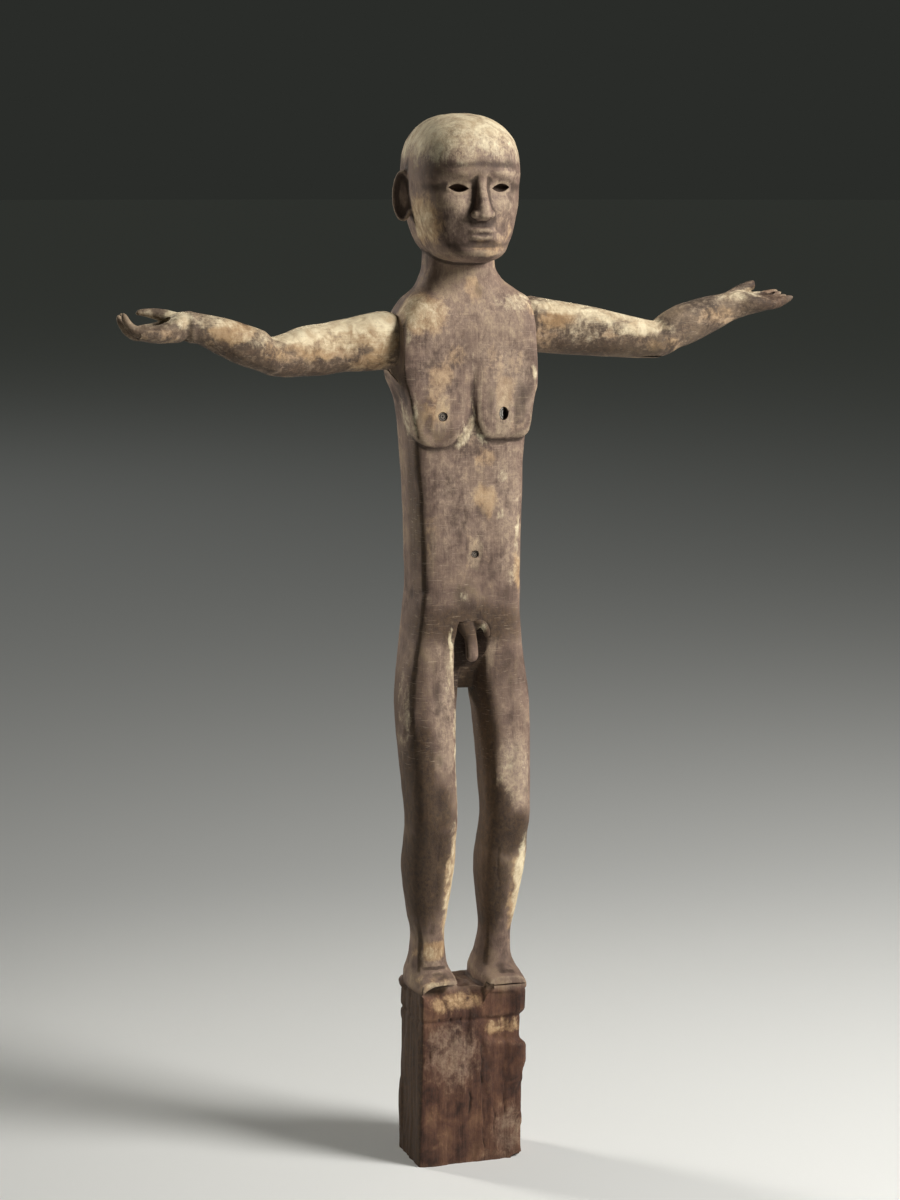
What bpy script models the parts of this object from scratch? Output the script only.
"""Ancestor figure: a carved wooden man with outstretched arms, standing on his block.

Metres, +Z up. The origin is the centre of the block's underside and the figure faces -Y, so its
right arm points to -X. Head, body, legs and block are one timber. The two arms are carved apart
and meet flat seats on the sides of the chest. Three small pegs sit in the chest and the navel.
"""
import bpy
import numpy as np
from mathutils import Vector
from mathutils.bvhtree import BVHTree

# Block
BLOCK_WIDTH = 0.133
BLOCK_DEPTH = 0.088
BLOCK_HEIGHT = 0.215
BLOCK_LEAN = 0.003           # the hewn timber leans this far to its left
BLOCK_EDGE = 0.0022          # worn edges
BAND_HEIGHT = 0.024          # plain band above the groove
GROOVE_HEIGHT = 0.005
GROOVE_DEPTH = 0.003
LEDGE_DROP = 0.054           # from the block's top down to the ledge of the split front face
LEDGE_DEPTH = 0.004
LEDGE_WIDTH = 0.042
LEDGE_SIDE_DEPTH = 0.003
CORNER_CHIP = 0.012

# Figure
FIGURE_HEIGHT = 1.035        # from the block's top to the crown
SEAT_SPAN = 0.1615           # between the flat seats that carry the arms
SEAT_OFFSET = -0.0005        # the seats' middle from the figure's middle
SEAT_CUT = 0.0065            # how far the seats are cut into the shoulders
RIGHT_LEG_GIRTH = 1.0        # of the legs' own table
LEFT_LEG_GIRTH = 0.95
FOOT_SINK = 0.006            # how far the feet run into the block that they are carved with

# Arms, each measured from its seat to its fingertips
RIGHT_ARM_REACH = 0.336
LEFT_ARM_REACH = 0.322
ARM_GAP = 0.0003             # between an arm's end and its seat

# Pegs
NIPPLE_PEG_DIAMETER = 0.0105
NIPPLE_PEG_LENGTH = 0.012
LEFT_HOLE_WIDTH = 0.011
LEFT_HOLE_HEIGHT = 0.016
LEFT_HOLE_DEPTH = 0.012
NAVEL_PEG_DIAMETER = 0.0082
NAVEL_PEG_LENGTH = 0.009
PEG_CLEARANCE = 0.0003
PEG_SUNK = 0.0006            # a nipple peg's face lies this far below the wood around it
NAVEL_PEG_SUNK = 0.0018
LEFT_PEG_END = 0.1           # the remnant ends this share of the hole's half width from its middle

# Where each peg stands: across and above the block, in shares of the figure's height
PEG_PLACES = {
    "right_nipple_peg": (-36.9, 688),
    "left_nipple_peg": (37.8, 690),
    "navel_peg": (3.4, 526),
}

# Eye sockets, whose inlays are lost. Half width and half height are shares of the eye's width.
SOCKET_DEPTH = 0.009
SOCKET_HALF_WIDTH = 0.44
SOCKET_HALF_HEIGHT = 0.24

# Fineness of the carved surface
FIGURE_GRAIN = 0.0024
ARM_GRAIN = 0.0019
SMOOTHING = 5
FIGURE_FACES = 5900
ARM_FACES = 1350

UNIT = FIGURE_HEIGHT / 1035  # the tables below are in this share of the figure's height
RIGHT_SEAT = SEAT_OFFSET - SEAT_SPAN / 2
LEFT_SEAT = SEAT_OFFSET + SEAT_SPAN / 2
SHOULDER = (SEAT_SPAN / 2 + SEAT_CUT) / UNIT

# The lower edge of each seat's cut runs down to the front: place along Y, height above the block
SEAT_EDGE_FRONT = (-80, 706)
SEAT_EDGE_BACK = (80, 760)
SEAT_TOP = 900

# Each row: height above the block, middle across, middle along, half width, front, back, squareness
TORSO = [
    (358, 0, 1, 38, 24, 28, 2.4),
    (370, 0, 1, 60, 34, 38, 3.0),
    (388, 0, 0, 73.5, 43, 44, 4.2),
    (417, 0.5, 0, 71.0, 45, 45, 4.6),
    (446, 1.2, 0, 65.8, 45, 45, 5.0),
    (485, 2.2, 0, 64.0, 45, 45, 5.2),
    (527, 1.8, 0, 64.3, 45, 45, 5.4),
    (590, 2.4, 0, 66.3, 42, 45, 5.6),
    (640, 1.8, 0, 68.5, 39.5, 46, 5.6),
    (674, 2.2, 0, 71.5, 39, 47, 5.6),
    (703, 1.8, 0, 75.0, 39, 47, 5.6),
    (731, -0.5, 0, SHOULDER - 4.5, 40, 47, 5.6),
    (756, -0.5, 0, SHOULDER, 42, 46, 6.0),
    (790, 0.5, 0, SHOULDER, 43, 44, 6.0),
    (806, 3, 1, SHOULDER - 6, 40, 41, 5.0),
    (822, 6, 3, 73.5, 36, 37, 3.6),
    (833, 5, 4, 60, 33, 36, 3.0),
    (845, 1.2, 5, 49, 32, 36, 2.6),
    (860, -0.2, 5, 43, 32, 37, 2.4),
    (900, 0, 4, 41.5, 34, 40, 2.3),
]

# The skull, laid out on the head's own height
HEAD_HEIGHT = 170
CHIN = 1035 - HEAD_HEIGHT
EYE_LINE = CHIN + 0.50 * HEAD_HEIGHT
BROW_LINE = CHIN + 0.59 * HEAD_HEIGHT
NOSE_BASE = CHIN + 0.30 * HEAD_HEIGHT
MOUTH_LINE = CHIN + 0.195 * HEAD_HEIGHT
HEAD_WIDTH = 127
EYE_WIDTH = HEAD_WIDTH / 5
SKULL = [
    (CHIN, 0, -30, 23, 36, 30, 2.2),
    (CHIN + 5, 0, -15, 39, 62, 43, 2.5),
    (CHIN + 14, 0, -2, 47.5, 80, 55, 2.8),
    (CHIN + 23, 0, 0, 51, 78, 62, 2.8),
    (MOUTH_LINE, 0, 0, 54, 79, 67, 2.8),
    (NOSE_BASE, 0, 0, 58, 77, 74, 2.9),
    (NOSE_BASE + 15, 0, 0, 60.5, 76, 80, 2.9),
    (EYE_LINE, 0, 0, 61.5, 72, 84, 3.0),
    (BROW_LINE, 0, 0, 62.5, 80, 87, 2.9),
    (CHIN + 125, 0, 0, 62.5, 78, 87, 2.8),
    (CHIN + 145, 0, 0, 57, 70, 80, 2.7),
    (CHIN + 160, 0, 0, 46, 56, 67, 2.5),
    (CHIN + 167, 0, 0, 34, 41, 52, 2.3),
    (CHIN + HEAD_HEIGHT, 0, 0, 20, 24, 34, 2.2),
]
NOSE = [
    (NOSE_BASE - 3, 0, -74, 7, 9, 10, 2.2),
    (NOSE_BASE + 2, 0, -74, 12.5, 17, 10, 2.2),
    (NOSE_BASE + 9, 0, -74, 11.5, 18, 10, 2.2),
    (NOSE_BASE + 22, 0, -74, 8.0, 13, 10, 2.2),
    (EYE_LINE + 1, 0, -74, 6.6, 8, 10, 2.2),
    (BROW_LINE + 4, 0, -74, 8.5, 7, 10, 2.2),
]
LIPS = [
    (MOUTH_LINE - 9.0, 0, -70, 12, 9, 10, 2.2),
    (MOUTH_LINE - 5.5, 0, -70, 18, 15.5, 10, 2.2),
    (MOUTH_LINE - 1.6, 0, -70, 21, 14, 10, 2.1),
    (MOUTH_LINE, 0, -70, 21, 9.5, 10, 2.1),
    (MOUTH_LINE + 1.6, 0, -70, 21, 14.5, 10, 2.1),
    (MOUTH_LINE + 5.0, 0, -70, 18, 16, 10, 2.2),
    (MOUTH_LINE + 8.5, 0, -70, 11, 9, 10, 2.2),
]

# Each breast plate's row: height above its lowest point, inner edge, outer edge, front
BREAST_PLATE = [
    (0, 27, 47, 15),
    (3, 20, 54, 19),
    (9, 14, 58, 20.5),
    (20, 9, 61, 20.5),
    (45, 5, 65, 20),
    (80, 3.5, 71, 19),
    (115, 3, 75, 17.5),
    (150, 5, 64, 12),
]
BREAST_PLATE_LOW = {-1: 652, 1: 660}
BREAST_BONE = 0.5            # middle of the groove between the plates

EAR_HEIGHT = 60
EAR_WIDTH = 26
EAR_TURN = np.radians(38)    # out from the side of the head

# Each leg's row: height above the block, distance from the middle, middle along, half width,
# half depth
LEG = [
    (10, 42, 6, 24, 28),
    (35, 42.5, 2, 21.6, 27),
    (65, 43.6, -2, 19.6, 24),
    (95, 45, -4, 23.4, 28.5),
    (125, 45.6, -7, 27.6, 33.5),
    (154, 46, -12, 30.2, 35.5),
    (184, 46.3, -21, 29.4, 34),
    (213, 47, -28, 29.3, 35),
    (243, 47.6, -24, 29.7, 37),
    (287, 48.3, -16, 31.4, 39),
    (330, 47.5, -9, 33.4, 41),
    (372, 44, -3, 34.6, 41),
    (405, 38, 0, 30.0, 38),
]
LEG_SQUARENESS = 2.5
RIGHT_LEG_SHIFT = 1.2         # to the figure's left
LEFT_LEG_SHIFT = -0.4

# Each foot's row: distance forward of the block's middle, half width, height
FOOT = [
    (-35, 13, 18),
    (-29, 20, 34),
    (-8, 24.5, 45),
    (10, 26, 35),
    (28, 25, 20),
    (42, 23.5, 12.5),
    (47, 20, 9),
]
RIGHT_FOOT_LINE = (-44, -39)  # across, at the heel and at the toes
LEFT_FOOT_LINE = (38, 45)

# Each arm's row: share of the reach, middle along, middle height, half depth, half height,
# squareness. Heights are above the block.
RIGHT_ARM = [
    (-0.030, 12, 774, 26.0, 29.5, 2.6),
    (0.004, 12, 774, 28.5, 32.0, 2.6),
    (0.030, 12, 774, 30.0, 34.0, 2.5),
    (0.100, 9, 772, 30.0, 32.8, 2.4),
    (0.180, 5, 769, 29.0, 30.2, 2.4),
    (0.270, -1, 765, 27.5, 29.6, 2.4),
    (0.340, -8, 764, 26.0, 28.2, 2.4),
    (0.400, -15, 761, 24.5, 25.2, 2.3),
    (0.450, -21, 760, 23.5, 22.2, 2.3),
    (0.485, -25, 766, 23.5, 24.4, 2.3),
    (0.570, -29, 776, 23.0, 24.6, 2.3),
    (0.650, -32, 786, 21.0, 21.5, 2.3),
    (0.740, -34, 796, 18.5, 17.2, 2.3),
    (0.775, -35, 797, 19.5, 16.0, 2.3),
    (0.820, -36, 794, 25.0, 13.5, 2.5),
    (0.880, -38, 791, 29.0, 10.5, 2.6),
    (0.930, -38, 790, 28.0, 8.0, 2.5),
]
LEFT_ARM = [
    (-0.030, 6, 791, 26.0, 28.0, 2.6),
    (0.004, 6, 791, 28.5, 30.5, 2.6),
    (0.030, 6, 790, 30.0, 32.6, 2.5),
    (0.140, 1, 785, 29.0, 31.0, 2.4),
    (0.245, -6, 781, 27.5, 29.2, 2.4),
    (0.350, -14, 776, 25.5, 26.2, 2.4),
    (0.440, -21, 772, 24.0, 23.2, 2.3),
    (0.480, -25, 771, 23.5, 22.0, 2.3),
    (0.505, -26, 775, 23.5, 24.0, 2.3),
    (0.535, -28, 780, 23.0, 25.6, 2.3),
    (0.570, -29, 786, 22.5, 25.4, 2.3),
    (0.610, -30, 790, 22.0, 25.0, 2.3),
    (0.670, -32, 797, 20.5, 23.2, 2.3),
    (0.720, -33, 802, 19.0, 20.6, 2.3),
    (0.780, -35, 809, 17.5, 17.0, 2.3),
    (0.840, -36, 812, 21.0, 13.0, 2.4),
    (0.890, -37, 811, 24.5, 9.8, 2.5),
    (0.930, -37, 810, 24.0, 8.0, 2.4),
]

# Fingers and thumbs. Each row: share of the reach, middle along, height, half thickness.
RIGHT_HAND = {
    "middle": -38,
    "step": 13.5,                        # from one finger to the next, along Y
    "reach": (0.985, 1.0, 1.0, 0.985),   # forefinger first
    "lift": (2, -1, 0, 4),
    "finger": [(0.880, 0, 789, 7.2), (0.930, 0, 790, 7.2), (0.958, 0, 795, 6.4),
               (0.980, 0, 803, 5.8), (0.994, 0, 812, 4.4)],
    "thumb": [(0.770, -14, 802, 9.0), (0.830, -7, 809, 8.0), (0.885, -5, 811, 6.6),
              (0.918, -7, 810, 5.2), (0.934, -10, 806, 3.6)],
}
LEFT_HAND = {
    "middle": -37,
    "step": 12.0,
    "reach": (0.99, 0.99, 1.0, 0.97),
    "lift": (6, 3, 0, 1),
    "finger": [(0.890, 0, 809, 7.0), (0.940, 0, 811, 7.0), (0.974, 0, 816, 5.6),
               (0.999, 0, 820, 3.4)],
    "thumb": [(0.770, -22, 813, 9.0), (0.820, -18, 820, 8.6), (0.865, -16, 826, 7.4),
              (0.907, -15, 829, 5.6)],
}


def between(stations, at):
    """Read a table at the places `at`, on a cubic through its rows that does not overshoot."""
    table = np.array(stations, dtype=float)
    place, value = table[:, 0], table[:, 1:]
    step = np.diff(place)
    rise = np.diff(value, axis=0) / step[:, None]
    product = rise[:-1] * rise[1:]
    total = np.where(product > 0, rise[:-1] + rise[1:], 1)
    slope = np.vstack([rise[:1], np.where(product > 0, 2 * product / total, 0), rise[-1:]])
    row = np.clip(np.searchsorted(place, at, side="right") - 1, 0, len(step) - 1)
    gap = step[row][:, None]
    t = (at - place[row])[:, None] / gap
    start = value[row] * (1 + 2 * t) * (1 - t) ** 2 + slope[row] * gap * t * (1 - t) ** 2
    end = value[row + 1] * t * t * (3 - 2 * t) - slope[row + 1] * gap * t * t * (1 - t)
    return start + end


def superellipse(squareness, sides):
    """Unit outline: cosine and sine raised to 2 over the squareness, with their signs kept."""
    turn = np.linspace(0, 2 * np.pi, sides, endpoint=False)
    power = 2 / np.asarray(squareness, dtype=float).reshape(-1, 1)
    cosine, sine = np.cos(turn), np.sin(turn)
    return np.sign(cosine) * np.abs(cosine) ** power, np.sign(sine) * np.abs(sine) ** power


def skin(rings):
    """Close a stack of rings, one row of points for each, into points and faces."""
    count, sides = rings.shape[:2]
    faces = []
    for ring in range(count - 1):
        for side in range(sides):
            low, high = ring * sides, (ring + 1) * sides
            after = (side + 1) % sides
            faces.append((low + side, low + after, high + after, high + side))
    faces.append(tuple(reversed(range(sides))))
    faces.append(tuple(range((count - 1) * sides, count * sides)))
    return rings.reshape(-1, 3), faces


def column(stations, base=0.0, sides=48, spacing=5.0):
    """Upright form: level superellipses, read from a table in units above `base`."""
    low, high = stations[0][0], stations[-1][0]
    at = np.linspace(low, high, int(np.ceil((high - low) / spacing)) + 1)
    middle_x, middle_y, half, front, back, square = between(stations, at).T
    across, along = superellipse(square, sides)
    depth = np.where(along < 0, front[:, None], back[:, None])
    x = middle_x[:, None] + across * half[:, None]
    y = middle_y[:, None] + along * depth
    z = np.repeat(at[:, None], sides, axis=1)
    return skin(np.stack([x, y, z], axis=2) * UNIT + np.array([0, 0, base]))


def arm_column(stations, seat, reach, base, sides=40, count=72):
    """Arm: upright sections square to X, read from a table by the share of the reach."""
    at = np.linspace(stations[0][0], stations[-1][0], count)
    middle_y, middle_z, depth, height, square = between(stations, at).T
    along, up = superellipse(square, sides)
    x = np.repeat((seat + at * reach)[:, None], sides, axis=1)
    y = (middle_y[:, None] + along * depth[:, None]) * UNIT
    z = (middle_z[:, None] + up * height[:, None]) * UNIT + base
    rings = np.stack([x, y, z], axis=2)
    return skin(rings if reach > 0 else rings[::-1])


def tube(points, radii, sides=16, count=22, side=(0, 1, 0)):
    """Round form along a smooth path, its rings square to the path."""
    points = np.array(points, dtype=float)
    row = np.arange(len(points), dtype=float)
    table = np.column_stack([row, points, radii])
    at = np.linspace(0, len(points) - 1, count)
    read = between(table, at)
    centre, radius = read[:, :3], read[:, 3]
    ahead = np.gradient(centre, axis=0)
    ahead /= np.linalg.norm(ahead, axis=1, keepdims=True)
    over = np.cross(ahead, np.array(side, dtype=float))
    over /= np.linalg.norm(over, axis=1, keepdims=True)
    beside = np.cross(over, ahead)
    turn = np.linspace(0, 2 * np.pi, sides, endpoint=False)
    spoke = (beside[:, None] * np.cos(turn)[None, :, None]
             + over[:, None] * np.sin(turn)[None, :, None])
    round_end = np.sqrt(np.clip(1 - np.clip((at - at[-1]) / 0.5 + 1, 0, 0.95) ** 2, 0, 1))
    rings = centre[:, None] + spoke * (radius * round_end)[:, None, None]
    return skin(rings[:, ::-1])


def ball(centre, halves, sides=28):
    """Ellipsoid with the given half sizes."""
    turn = np.linspace(-0.5 * np.pi, 0.5 * np.pi, sides // 2 + 1)[1:-1]
    spin = np.linspace(0, 2 * np.pi, sides, endpoint=False)
    x = np.cos(turn)[:, None] * np.cos(spin) * halves[0] + centre[0]
    y = np.cos(turn)[:, None] * np.sin(spin) * halves[1] + centre[1]
    z = np.repeat(np.sin(turn)[:, None], sides, axis=1) * halves[2] + centre[2]
    return skin(np.stack([x, y, z], axis=2))


def leg(side, shift, girth, base):
    """One leg, `side` +1 for the figure's left, with its sections' half widths times girth."""
    rows = [(z, side * x + shift, y, half * girth, depth, depth, LEG_SQUARENESS)
            for z, x, y, half, depth in LEG]
    return column(rows, base)


def foot(line, base):
    """One foot: a wedge from heel to toes along its own line, run down into the block."""
    at = np.linspace(FOOT[0][0], FOOT[-1][0], 24)
    half, height = between(FOOT, at).T
    across, up = superellipse(np.full(len(at), 2.8), 32)
    middle = np.interp(at, (at[0], at[-1]), line)
    x = middle[:, None] + across * half[:, None]
    y = -at[:, None] + np.zeros_like(across)
    z = np.where(up > 0, up * height[:, None], up * FOOT_SINK / UNIT)
    rings = np.stack([x, y, z], axis=2) * UNIT + np.array([0, 0, base])
    return skin(rings)


def breast_plate(side, base):
    """One raised plate of the chest, flat in front and round below, proud of the breast bone."""
    rows = []
    for rise, inner, outer, proud in BREAST_PLATE:
        rows.append((BREAST_PLATE_LOW[side] + rise, side * (inner + outer) / 2 + BREAST_BONE, -26,
                     (outer - inner) / 2, proud, 10, 7.0))
    return column(rows, base, spacing=2.5)


def ear(side, base):
    """One ear: an upright rim with a shallow bowl inside, turned out from the head."""
    middle = (BROW_LINE + NOSE_BASE) / 2
    tall = EAR_HEIGHT / 2
    out = np.array([side * np.sin(EAR_TURN), np.cos(EAR_TURN), 0])
    root = np.array([side * (HEAD_WIDTH / 2 - 4), 2.0, middle])
    turn = np.linspace(-0.80, 0.80, 11) * np.pi
    across = EAR_WIDTH * (0.45 + 0.5 * np.cos(turn))
    rim = root + across[:, None] * out
    rim[:, 2] += tall * np.sin(turn) * 0.92
    shift = np.array([0, 0, base])
    rim_form = tube(rim * UNIT + shift, np.full(11, 3.8) * UNIT, side=(side, 0.3, 0), count=34)
    bowl = []
    for share in np.linspace(-0.86, 0.86, 12):
        wide = EAR_WIDTH * 0.5 * np.sqrt(1 - share ** 2)
        turn = np.linspace(0, 2 * np.pi, 20, endpoint=False)
        along = EAR_WIDTH * 0.42 + np.cos(turn) * wide
        thick = np.array([side * np.cos(EAR_TURN), -np.sin(EAR_TURN), 0])
        ring = root + along[:, None] * out + (np.sin(turn) * 2.6 - 2.5)[:, None] * thick
        ring[:, 2] += share * tall
        bowl.append(ring * UNIT + shift)
    rings = np.array(bowl)
    return [rim_form, skin(rings if side < 0 else rings[:, ::-1])]


def sex(base):
    """Small plain form at the front of the pelvis."""
    path = np.array([(0, -38, 443), (1, -49, 431), (2, -53, 413), (2, -51, 400)]) * UNIT
    hang = tube(path + np.array([0, 0, base]), np.array([6, 7, 6.6, 5.8]) * UNIT, side=(1, 0, 0))
    root = ball((7 * UNIT, -43 * UNIT, 424 * UNIT + base), (14 * UNIT, 8 * UNIT, 11 * UNIT))
    return [hang, root]


def hand(plan, seat, reach, base):
    """Four fingers side by side and a thumb on the far side, all read by the share of the reach."""
    forms = []
    root = plan["finger"][0][0]
    for index, (own_reach, lift) in enumerate(zip(plan["reach"], plan["lift"])):
        offset = plan["middle"] + (1.5 - index) * plan["step"]
        path = [(seat + (root + (share - root) * (own_reach - root) / (1 - root)) * reach,
                 (offset + along) * UNIT, (height + lift) * UNIT + base)
                for share, along, height, _ in plan["finger"]]
        forms.append(tube(path, [row[3] * UNIT for row in plan["finger"]]))
    path = [(seat + share * reach, along * UNIT, height * UNIT + base)
            for share, along, height, _ in plan["thumb"]]
    forms.append(tube(path, [row[3] * UNIT for row in plan["thumb"]]))
    return forms


def clear_scene():
    for item in list(bpy.data.objects):
        bpy.data.objects.remove(item, do_unlink=True)


def collection(name):
    made = bpy.data.collections.new(name)
    bpy.context.scene.collection.children.link(made)
    return made


def wood(name, colour, roughness):
    made = bpy.data.materials.new(name)
    made.use_nodes = True
    shader = made.node_tree.nodes["Principled BSDF"]
    shader.inputs["Base Color"].default_value = (*colour, 1)
    shader.inputs["Roughness"].default_value = roughness
    shader.inputs["Metallic"].default_value = 0
    return made


def mesh_object(name, forms, group):
    """One object from several closed forms, which may run into each other."""
    points = []
    faces = []
    start = 0
    for form_points, form_faces in forms:
        points.append(form_points)
        faces += [tuple(start + corner for corner in face) for face in form_faces]
        start += len(form_points)
    mesh = bpy.data.meshes.new(name)
    mesh.from_pydata(np.vstack(points).tolist(), [], faces)
    made = bpy.data.objects.new(name, mesh)
    group.objects.link(made)
    return made


def settle(item):
    """Put the result of an object's modifiers into its mesh."""
    graph = bpy.context.evaluated_depsgraph_get()
    graph.update()
    mesh = bpy.data.meshes.new_from_object(item.evaluated_get(graph))
    item.modifiers.clear()
    item.data = mesh


def carve(item, grain, faces):
    """Melt an object's forms into one closed skin, smooth it and thin it to a number of faces."""
    remesh = item.modifiers.new("one skin", "REMESH")
    remesh.mode = "VOXEL"
    remesh.voxel_size = grain
    smooth = item.modifiers.new("smooth", "SMOOTH")
    smooth.iterations = SMOOTHING
    smooth.factor = 0.5
    settle(item)
    item.data.calc_loop_triangles()
    thin = item.modifiers.new("thin", "DECIMATE")
    thin.ratio = faces / len(item.data.loop_triangles)
    settle(item)


def cut(item, cutter, operation="DIFFERENCE"):
    cutter.hide_render = True
    cutter.display_type = "WIRE"
    change = item.modifiers.new(cutter.name, "BOOLEAN")
    change.operation = operation
    change.solver = "EXACT"
    change.object = cutter
    settle(item)


def box(name, low, high, group):
    """Upright box between two corners."""
    bpy.ops.mesh.primitive_cube_add(size=1)
    made = bpy.context.object
    made.name = name
    low, high = Vector(low), Vector(high)
    for corner in made.data.vertices:
        corner.co = Vector([low[axis] if corner.co[axis] < 0 else high[axis] for axis in range(3)])
    for home in list(made.users_collection):
        home.objects.unlink(made)
    group.objects.link(made)
    return made


def rod(name, centre, radius_x, radius_z, front, back, group, sides=28):
    """Round rod along Y, from `front` to `back`, with its own half sizes across and up."""
    across, up = superellipse(np.full(2, 2.0), sides)
    x = centre[0] + across * radius_x
    z = centre[1] + up * radius_z
    y = np.repeat(np.array([[back], [front]]), sides, axis=1)
    return mesh_object(name, [skin(np.stack([x, y, z], axis=2))], group)


def surface_front(item, x, z):
    """The Y of the figure's front surface at a place."""
    tree = BVHTree.FromObject(item, bpy.context.evaluated_depsgraph_get())
    hit = tree.ray_cast(Vector((x, -1, z)), Vector((0, 1, 0)))[0]
    return hit.y


def make_block(cutters):
    """The block: a hewn timber with a band on top, a groove, a split face and a chipped corner."""
    half_w, half_d = BLOCK_WIDTH / 2, BLOCK_DEPTH / 2
    block = box("block", (-half_w, -half_d, 0), (half_w, half_d, BLOCK_HEIGHT), cutters)
    bevel = block.modifiers.new("worn edges", "BEVEL")
    bevel.width = BLOCK_EDGE
    bevel.segments = 1
    settle(block)
    top = BLOCK_HEIGHT - BAND_HEIGHT
    low = top - GROOVE_HEIGHT
    ledge = BLOCK_HEIGHT - LEDGE_DROP
    in_w, in_d = half_w - GROOVE_DEPTH, half_d - GROOVE_DEPTH
    cuts = {
        "groove front": ((-BLOCK_WIDTH, -BLOCK_DEPTH, low), (BLOCK_WIDTH, -in_d, top)),
        "groove back": ((-BLOCK_WIDTH, in_d, low), (BLOCK_WIDTH, BLOCK_DEPTH, top)),
        "groove right": ((-BLOCK_WIDTH, -BLOCK_DEPTH, low), (-in_w, BLOCK_DEPTH, top)),
        "groove left": ((in_w, -BLOCK_DEPTH, low), (BLOCK_WIDTH, BLOCK_DEPTH, top)),
        "split face": ((half_w - LEDGE_WIDTH, -BLOCK_DEPTH, ledge),
                       (BLOCK_WIDTH, LEDGE_DEPTH - half_d, top)),
        "split side": ((half_w - LEDGE_SIDE_DEPTH, -BLOCK_DEPTH, ledge),
                       (BLOCK_WIDTH, 0, top)),
    }
    for name, (from_corner, to_corner) in cuts.items():
        cut(block, box(name, from_corner, to_corner, cutters))
    chip = ball((half_w, -half_d, 0), (CORNER_CHIP, CORNER_CHIP, CORNER_CHIP * 0.8), sides=10)
    cut(block, mesh_object("corner chip", [chip], cutters))
    for corner in block.data.vertices:
        corner.co.x += BLOCK_LEAN * corner.co.z / BLOCK_HEIGHT
    return block


def make_seat_cutter(side, group):
    """Wedge outside one seat. Its lower edge runs down to the front, above the ribs."""
    seat = LEFT_SEAT if side > 0 else RIGHT_SEAT
    far = seat + side * 0.1 * FIGURE_HEIGHT
    profile = [SEAT_EDGE_FRONT, SEAT_EDGE_BACK, (SEAT_EDGE_BACK[0], SEAT_TOP),
               (SEAT_EDGE_FRONT[0], SEAT_TOP)]
    rings = np.array([[(x, y * UNIT, z * UNIT + BLOCK_HEIGHT) for y, z in profile]
                      for x in sorted((seat, far))])
    return mesh_object("seat cutter", [skin(rings)], group)


def peg_places(figure):
    """Where each peg stands: across, up, and the Y of the wood around it."""
    places = {}
    for name, (x, z) in PEG_PLACES.items():
        x, z = x * UNIT, z * UNIT + BLOCK_HEIGHT
        places[name] = (x, z, surface_front(figure, x, z))
    return places


def make_figure(group, cutters):
    base = BLOCK_HEIGHT
    forms = [column(TORSO, base), column(SKULL, base), column(NOSE, base, 24, 2.0),
             column(LIPS, base, 24, 1.0), leg(-1, RIGHT_LEG_SHIFT, RIGHT_LEG_GIRTH, base),
             leg(1, LEFT_LEG_SHIFT, LEFT_LEG_GIRTH, base), foot(RIGHT_FOOT_LINE, base),
             foot(LEFT_FOOT_LINE, base), breast_plate(-1, base), breast_plate(1, base)]
    forms += ear(-1, base) + ear(1, base) + sex(base)
    figure = mesh_object("figure", forms, group)
    carve(figure, FIGURE_GRAIN, FIGURE_FACES)
    eye = EYE_LINE * UNIT + base
    for side in (-1, 1):
        cut(figure, make_seat_cutter(side, cutters))
        x = side * EYE_WIDTH * UNIT
        socket = ball((x, surface_front(figure, x, eye), eye),
                      (SOCKET_HALF_WIDTH * EYE_WIDTH * UNIT, SOCKET_DEPTH,
                       SOCKET_HALF_HEIGHT * EYE_WIDTH * UNIT), sides=16)
        cut(figure, mesh_object("eye socket", [socket], cutters))
    cut(figure, make_block(cutters), "UNION")
    return figure


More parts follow.
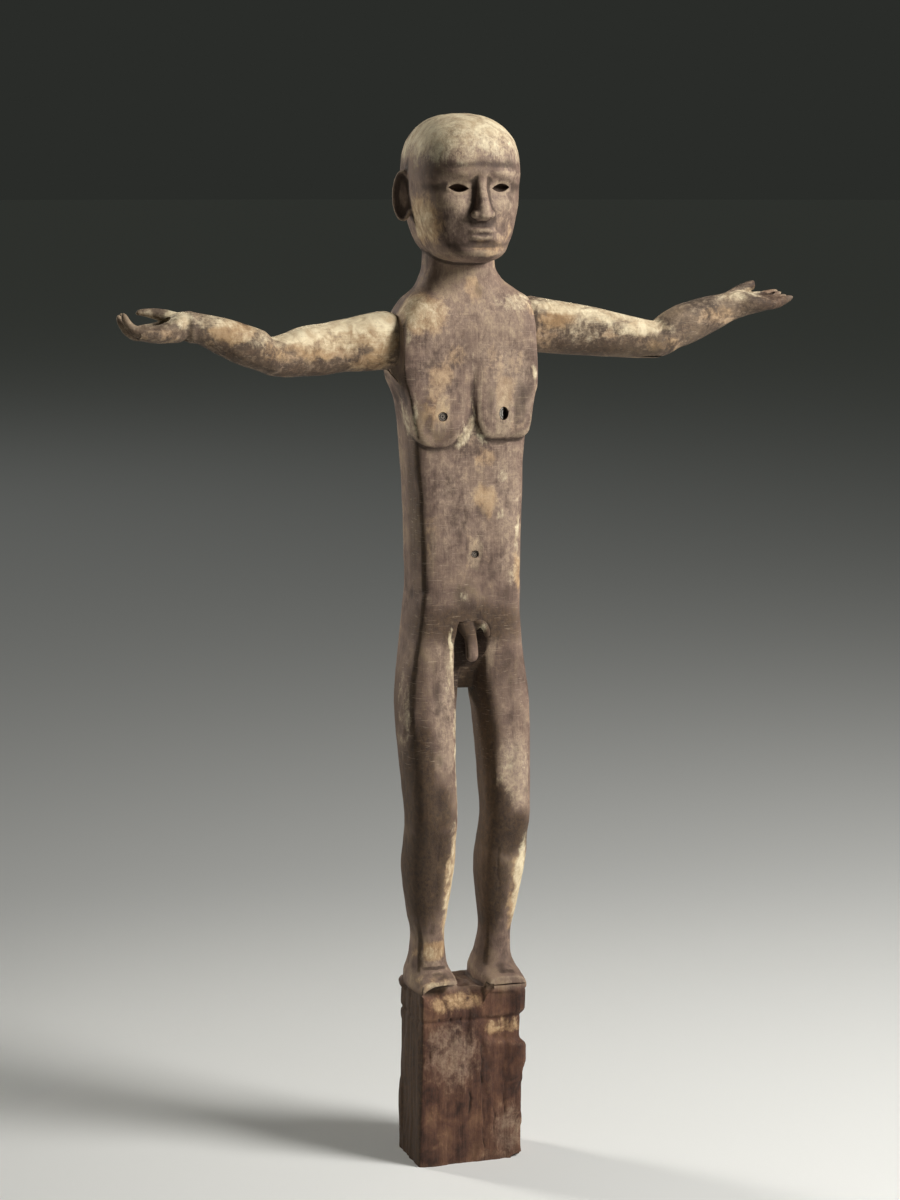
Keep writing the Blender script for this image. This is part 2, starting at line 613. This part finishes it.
def make_pegs(figure, group, cutters):
    """Bore the three holes and set a peg in each, a clearance smaller all round."""
    places = peg_places(figure)
    reach = 0.01 * FIGURE_HEIGHT

    x, z, face = places["right_nipple_peg"]
    radius = NIPPLE_PEG_DIAMETER / 2
    floor = face + PEG_SUNK + NIPPLE_PEG_LENGTH
    hole = radius + PEG_CLEARANCE
    cut(figure, rod("right hole", (x, z), hole, hole, face - reach, floor + PEG_CLEARANCE, cutters))
    rod("right_nipple_peg", (x, z), radius, radius, face + PEG_SUNK, floor, group)

    x, z, face = places["left_nipple_peg"]
    wide, tall = LEFT_HOLE_WIDTH / 2, LEFT_HOLE_HEIGHT / 2
    floor = face + LEFT_HOLE_DEPTH
    cut(figure, rod("left hole", (x, z), wide, tall, face - reach, floor, cutters))
    remnant = rod("left_nipple_peg", (x, z), wide - PEG_CLEARANCE, tall - PEG_CLEARANCE,
                  face + PEG_SUNK, floor - PEG_CLEARANCE, group)
    half = box("lost half", (x - LEFT_PEG_END * wide, face - reach, z - tall),
               (x + LEFT_HOLE_WIDTH, floor + reach, z + tall), cutters)
    cut(remnant, half)

    x, z, face = places["navel_peg"]
    radius = NAVEL_PEG_DIAMETER / 2
    hole = radius + PEG_CLEARANCE
    front = face + NAVEL_PEG_SUNK
    floor = front + NAVEL_PEG_LENGTH
    cut(figure, rod("navel", (x, z), hole, hole, face - reach, floor + PEG_CLEARANCE, cutters))
    rod("navel_peg", (x, z), radius, radius, front, floor, group)


def make_arm(name, side, table, plan, group, cutters):
    """One arm: melted forms, cut off flat just outside its seat."""
    base = BLOCK_HEIGHT
    seat, reach = (LEFT_SEAT, LEFT_ARM_REACH) if side > 0 else (RIGHT_SEAT, -RIGHT_ARM_REACH)
    arm = mesh_object(name, [arm_column(table, seat, reach, base)] + hand(plan, seat, reach, base),
                      group)
    carve(arm, ARM_GRAIN, ARM_FACES)
    end = seat + side * ARM_GAP
    inner = side * 0.2 * FIGURE_HEIGHT
    low = (min(end - inner, end), -BLOCK_DEPTH, base)
    high = (max(end - inner, end), BLOCK_DEPTH, base + FIGURE_HEIGHT)
    cut(arm, box("inner end", low, high, cutters))
    return arm


def main():
    clear_scene()
    parts = collection("ancestor figure")
    cutters = collection("cutters")
    figure = make_figure(parts, cutters)
    make_pegs(figure, parts, cutters)
    make_arm("right_arm", -1, RIGHT_ARM, RIGHT_HAND, parts, cutters)
    make_arm("left_arm", 1, LEFT_ARM, LEFT_HAND, parts, cutters)
    finishes = {
        "figure": ("weathered hardwood", (0.23, 0.17, 0.13), 0.75),
        "right_arm": ("whitewashed hardwood", (0.42, 0.34, 0.24), 0.7),
        "left_arm": ("whitewashed hardwood", (0.42, 0.34, 0.24), 0.7),
        "right_nipple_peg": ("peg wood", (0.16, 0.13, 0.11), 0.8),
        "left_nipple_peg": ("grey peg wood", (0.32, 0.30, 0.28), 0.8),
        "navel_peg": ("peg wood", (0.16, 0.13, 0.11), 0.8),
    }
    for name, (title, colour, roughness) in finishes.items():
        item = bpy.data.objects[name]
        item.data.materials.clear()
        item.data.materials.append(wood(title, colour, roughness))
        item.data.shade_smooth()
        item.data.set_sharp_from_angle(angle=np.radians(40))


main()
